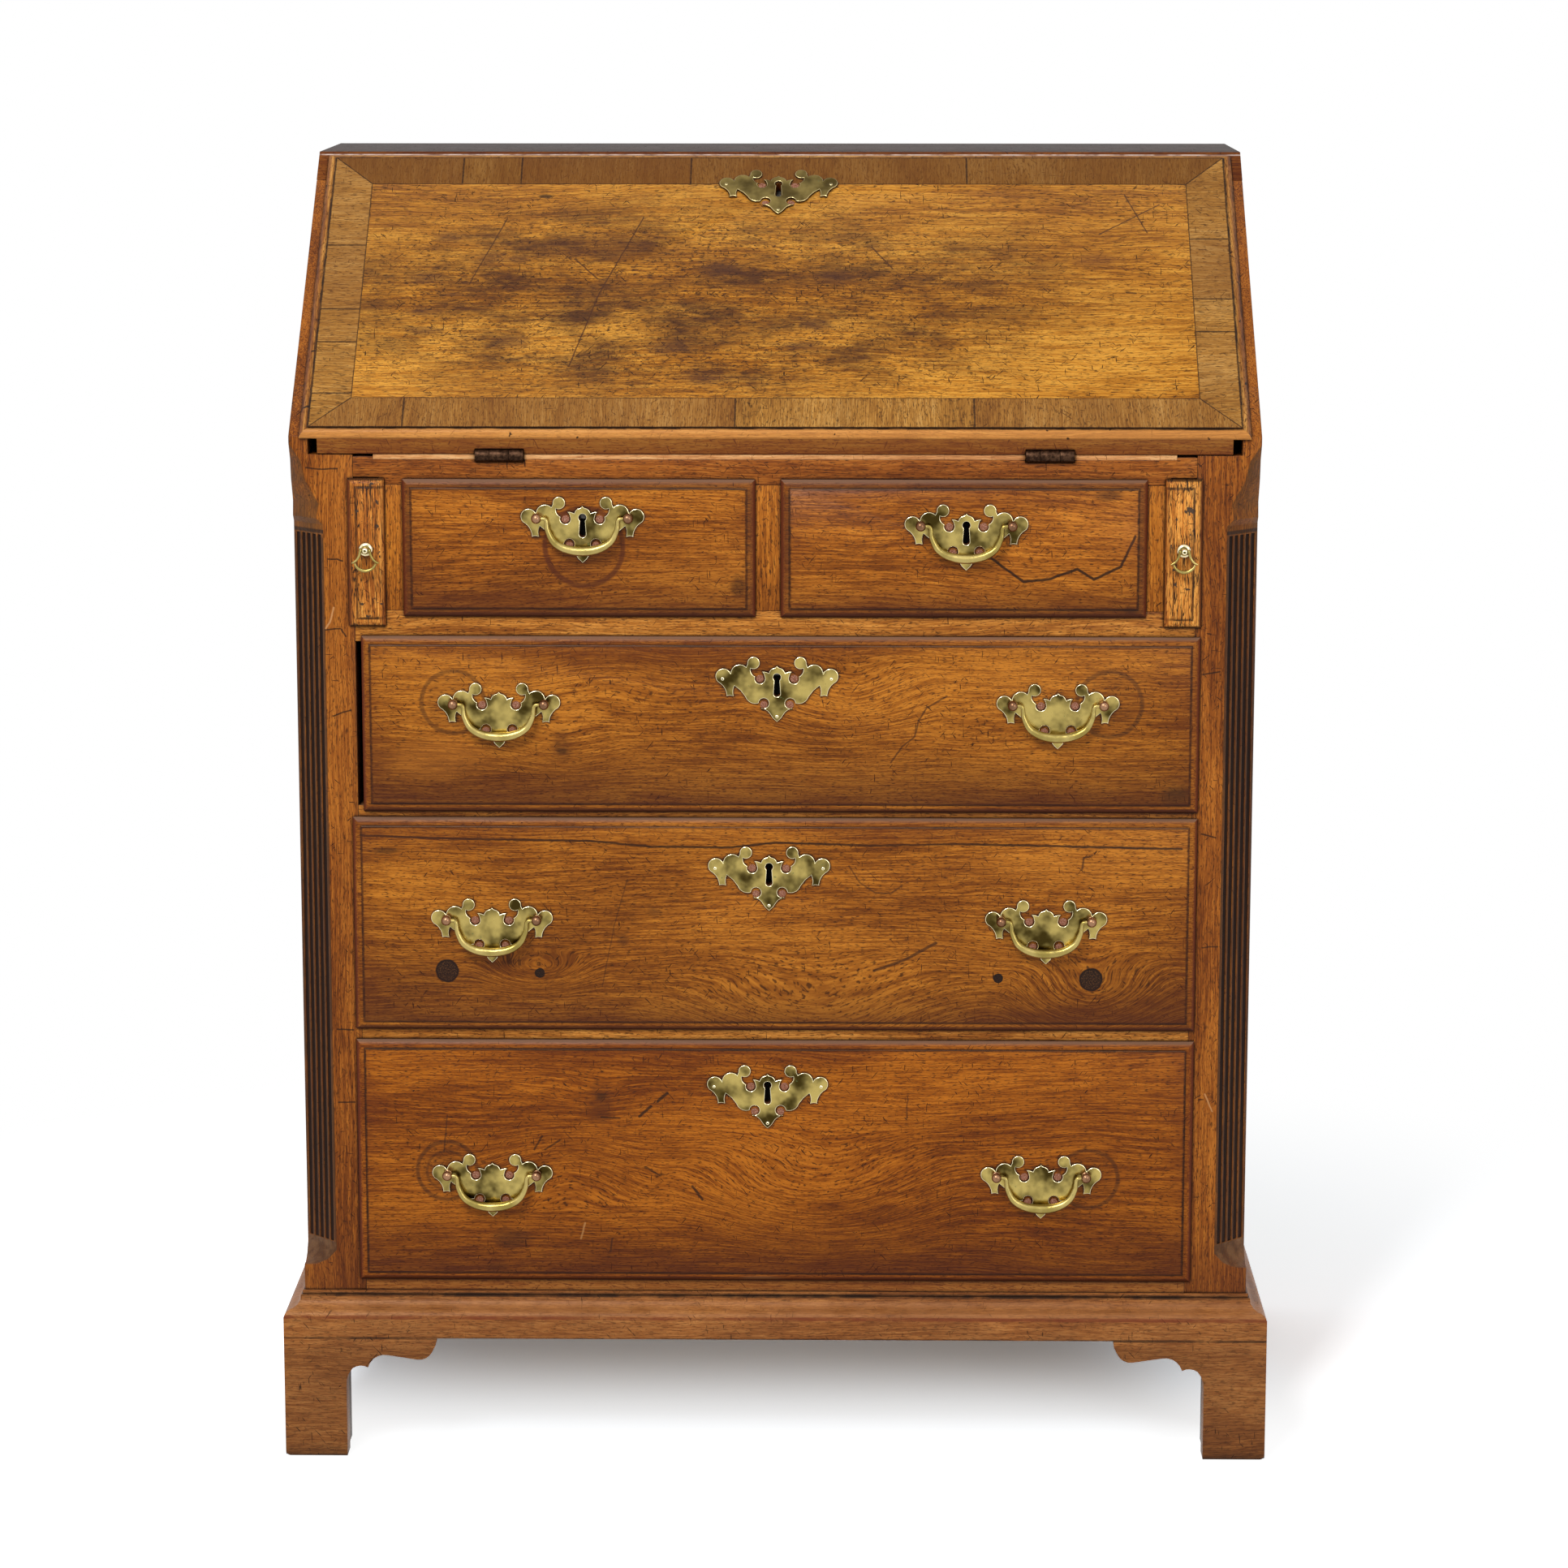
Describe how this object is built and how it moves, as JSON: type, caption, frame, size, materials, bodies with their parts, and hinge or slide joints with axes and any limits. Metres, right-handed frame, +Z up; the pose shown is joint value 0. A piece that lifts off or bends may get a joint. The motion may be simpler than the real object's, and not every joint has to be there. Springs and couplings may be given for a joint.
{
  "type": "slant-front bureau",
  "caption": "Slant-front bureau with a hinged writing fall, pull-out lopers, lipped drawers with bat-wing brasses, fluted canted corners and bracket feet.",
  "frame": {"origin": "bottom centre of the whole object's box, on the floor", "axes": "+Z up, the drawers and the fall face -Y, +X to the viewer's right"},
  "size_m": [0.792, 0.4274, 1.036],
  "materials": {
    "case_wood": "worn wax polish",
    "drawer_wood": "worn wax polish",
    "fall_wood": "faded wax polish",
    "band_wood": "faded wax polish, cross-grained",
    "strip_wood": "bare pale wood",
    "secondary_wood": "unfinished, aged",
    "fitting_wood": "wax polish",
    "brass": "tarnished cast brass",
    "hinge_metal": "dark browned",
    "bolt_metal": "dull"
  },
  "bodies": {
    "case": {"side_left": "case_wood", "side_right": "case_wood", "top_board": "case_wood", "back_boards": "secondary_wood", "bottom_board": "secondary_wood", "corner_post_left": "case_wood", "corner_post_right": "case_wood", "top_rail": "case_wood", "drawer_rails": "case_wood", "drawer_dividers": "case_wood", "drawer_runners": "secondary_wood", "writing_deck": "case_wood", "hinge_strip": "strip_wood", "base_moulding": "case_wood", "bracket_feet": "case_wood", "hinge_case_leaves": "hinge_metal", "pigeonholes": "fitting_wood"},
    "fall": {"fall_panel": "fall_wood", "fall_crossbanding": "band_wood", "fall_lip_moulding": "case_wood", "fall_brassware": "brass", "fall_hinge_leaves": "hinge_metal"},
    "fall_lock_bolt": {"fall_lock_bolt": "bolt_metal"},
    "short_drawer_left": {"short_drawer_left_front": "drawer_wood", "short_drawer_left_box": "secondary_wood", "short_drawer_left_brassware": "brass"},
    "short_drawer_left_lock_bolt": {"short_drawer_left_lock_bolt": "bolt_metal"},
    "short_drawer_left_bail": {"short_drawer_left_bail": "brass"},
    "short_drawer_right": {"short_drawer_right_front": "drawer_wood", "short_drawer_right_box": "secondary_wood", "short_drawer_right_brassware": "brass"},
    "short_drawer_right_lock_bolt": {"short_drawer_right_lock_bolt": "bolt_metal"},
    "short_drawer_right_bail": {"short_drawer_right_bail": "brass"},
    "long_drawer_1": {"long_drawer_1_front": "drawer_wood", "long_drawer_1_box": "secondary_wood", "long_drawer_1_brassware": "brass"},
    "long_drawer_1_lock_bolt": {"long_drawer_1_lock_bolt": "bolt_metal"},
    "long_drawer_1_bail_left": {"long_drawer_1_bail_left": "brass"},
    "long_drawer_1_bail_right": {"long_drawer_1_bail_right": "brass"},
    "long_drawer_2": {"long_drawer_2_front": "drawer_wood", "long_drawer_2_box": "secondary_wood", "long_drawer_2_brassware": "brass"},
    "long_drawer_2_lock_bolt": {"long_drawer_2_lock_bolt": "bolt_metal"},
    "long_drawer_2_bail_left": {"long_drawer_2_bail_left": "brass"},
    "long_drawer_2_bail_right": {"long_drawer_2_bail_right": "brass"},
    "long_drawer_3": {"long_drawer_3_front": "drawer_wood", "long_drawer_3_box": "secondary_wood", "long_drawer_3_brassware": "brass"},
    "long_drawer_3_lock_bolt": {"long_drawer_3_lock_bolt": "bolt_metal"},
    "long_drawer_3_bail_left": {"long_drawer_3_bail_left": "brass"},
    "long_drawer_3_bail_right": {"long_drawer_3_bail_right": "brass"},
    "loper_left": {"loper_left": "case_wood", "loper_left_rose": "brass"},
    "loper_left_drop": {"loper_left_drop": "brass"},
    "loper_right": {"loper_right": "case_wood", "loper_right_rose": "brass"},
    "loper_right_drop": {"loper_right_drop": "brass"},
    "fitting_drawer_left": {"fitting_drawer_left": "fitting_wood"},
    "fitting_drawer_centre": {"fitting_drawer_centre": "fitting_wood"},
    "fitting_drawer_right": {"fitting_drawer_right": "fitting_wood"}
  },
  "joints": [
    {"name": "fall_hinge", "type": "hinge", "parent": "case", "child": "fall", "pos_m": [0, -0.19677, 0.81198], "axis": [1, 0, 0], "range_deg": [0, 140.1]},
    {"name": "fall_lock", "type": "slide", "parent": "fall", "child": "fall_lock_bolt", "axis": [0, 0.7672, 0.6414], "range_m": [0, 0.008]},
    {"name": "short_drawer_left_slide", "type": "slide", "parent": "case", "child": "short_drawer_left", "axis": [0, -1, 0], "range_m": [0, 0.24]},
    {"name": "short_drawer_left_lock", "type": "slide", "parent": "short_drawer_left", "child": "short_drawer_left_lock_bolt", "axis": [0, 0, 1], "range_m": [0, 0.008]},
    {"name": "short_drawer_left_bail_swing", "type": "hinge", "parent": "short_drawer_left", "child": "short_drawer_left_bail", "pos_m": [-0.15, -0.21067, 0.76398], "axis": [-1, 0, 0], "range_deg": [0, 160]},
    {"name": "short_drawer_right_slide", "type": "slide", "parent": "case", "child": "short_drawer_right", "axis": [0, -1, 0], "range_m": [0, 0.24]},
    {"name": "short_drawer_right_lock", "type": "slide", "parent": "short_drawer_right", "child": "short_drawer_right_lock_bolt", "axis": [0, 0, 1], "range_m": [0, 0.008]},
    {"name": "short_drawer_right_bail_swing", "type": "hinge", "parent": "short_drawer_right", "child": "short_drawer_right_bail", "pos_m": [0.15, -0.21067, 0.75848], "axis": [-1, 0, 0], "range_deg": [0, 160]},
    {"name": "long_drawer_1_slide", "type": "slide", "parent": "case", "child": "long_drawer_1", "axis": [0, -1, 0], "range_m": [0, 0.25]},
    {"name": "long_drawer_1_lock", "type": "slide", "parent": "long_drawer_1", "child": "long_drawer_1_lock_bolt", "axis": [0, 0, 1], "range_m": [0, 0.008]},
    {"name": "long_drawer_1_bail_left_swing", "type": "hinge", "parent": "long_drawer_1", "child": "long_drawer_1_bail_left", "pos_m": [-0.217, -0.21067, 0.61673], "axis": [-1, 0, 0], "range_deg": [0, 160]},
    {"name": "long_drawer_1_bail_right_swing", "type": "hinge", "parent": "long_drawer_1", "child": "long_drawer_1_bail_right", "pos_m": [0.223, -0.21067, 0.61673], "axis": [-1, 0, 0], "range_deg": [0, 160]},
    {"name": "long_drawer_2_slide", "type": "slide", "parent": "case", "child": "long_drawer_2", "axis": [0, -1, 0], "range_m": [0, 0.25]},
    {"name": "long_drawer_2_lock", "type": "slide", "parent": "long_drawer_2", "child": "long_drawer_2_lock_bolt", "axis": [0, 0, 1], "range_m": [0, 0.008]},
    {"name": "long_drawer_2_bail_left_swing", "type": "hinge", "parent": "long_drawer_2", "child": "long_drawer_2_bail_left", "pos_m": [-0.2245, -0.21067, 0.44323], "axis": [-1, 0, 0], "range_deg": [0, 160]},
    {"name": "long_drawer_2_bail_right_swing", "type": "hinge", "parent": "long_drawer_2", "child": "long_drawer_2_bail_right", "pos_m": [0.2155, -0.21067, 0.44323], "axis": [-1, 0, 0], "range_deg": [0, 160]},
    {"name": "long_drawer_3_slide", "type": "slide", "parent": "case", "child": "long_drawer_3", "axis": [0, -1, 0], "range_m": [0, 0.25]},
    {"name": "long_drawer_3_lock", "type": "slide", "parent": "long_drawer_3", "child": "long_drawer_3_lock_bolt", "axis": [0, 0, 1], "range_m": [0, 0.008]},
    {"name": "long_drawer_3_bail_left_swing", "type": "hinge", "parent": "long_drawer_3", "child": "long_drawer_3_bail_left", "pos_m": [-0.2265, -0.21067, 0.23399], "axis": [-1, 0, 0], "range_deg": [0, 160]},
    {"name": "long_drawer_3_bail_right_swing", "type": "hinge", "parent": "long_drawer_3", "child": "long_drawer_3_bail_right", "pos_m": [0.2135, -0.21067, 0.23399], "axis": [-1, 0, 0], "range_deg": [0, 160]},
    {"name": "loper_left_slide", "type": "slide", "parent": "case", "child": "loper_left", "axis": [0, -1, 0], "range_m": [0, 0.28]},
    {"name": "loper_left_drop_swing", "type": "hinge", "parent": "loper_left", "child": "loper_left_drop", "pos_m": [-0.32, -0.20917, 0.73848], "axis": [-1, 0, 0], "range_deg": [0, 150]},
    {"name": "loper_right_slide", "type": "slide", "parent": "case", "child": "loper_right", "axis": [0, -1, 0], "range_m": [0, 0.28]},
    {"name": "loper_right_drop_swing", "type": "hinge", "parent": "loper_right", "child": "loper_right_drop", "pos_m": [0.32, -0.20917, 0.73848], "axis": [-1, 0, 0], "range_deg": [0, 150]},
    {"name": "fitting_drawer_left_slide", "type": "slide", "parent": "case", "child": "fitting_drawer_left", "axis": [0, -1, 0], "range_m": [0, 0.1]},
    {"name": "fitting_drawer_centre_slide", "type": "slide", "parent": "case", "child": "fitting_drawer_centre", "axis": [0, -1, 0], "range_m": [0, 0.1]},
    {"name": "fitting_drawer_right_slide", "type": "slide", "parent": "case", "child": "fitting_drawer_right", "axis": [0, -1, 0], "range_m": [0, 0.1]}
  ]
}
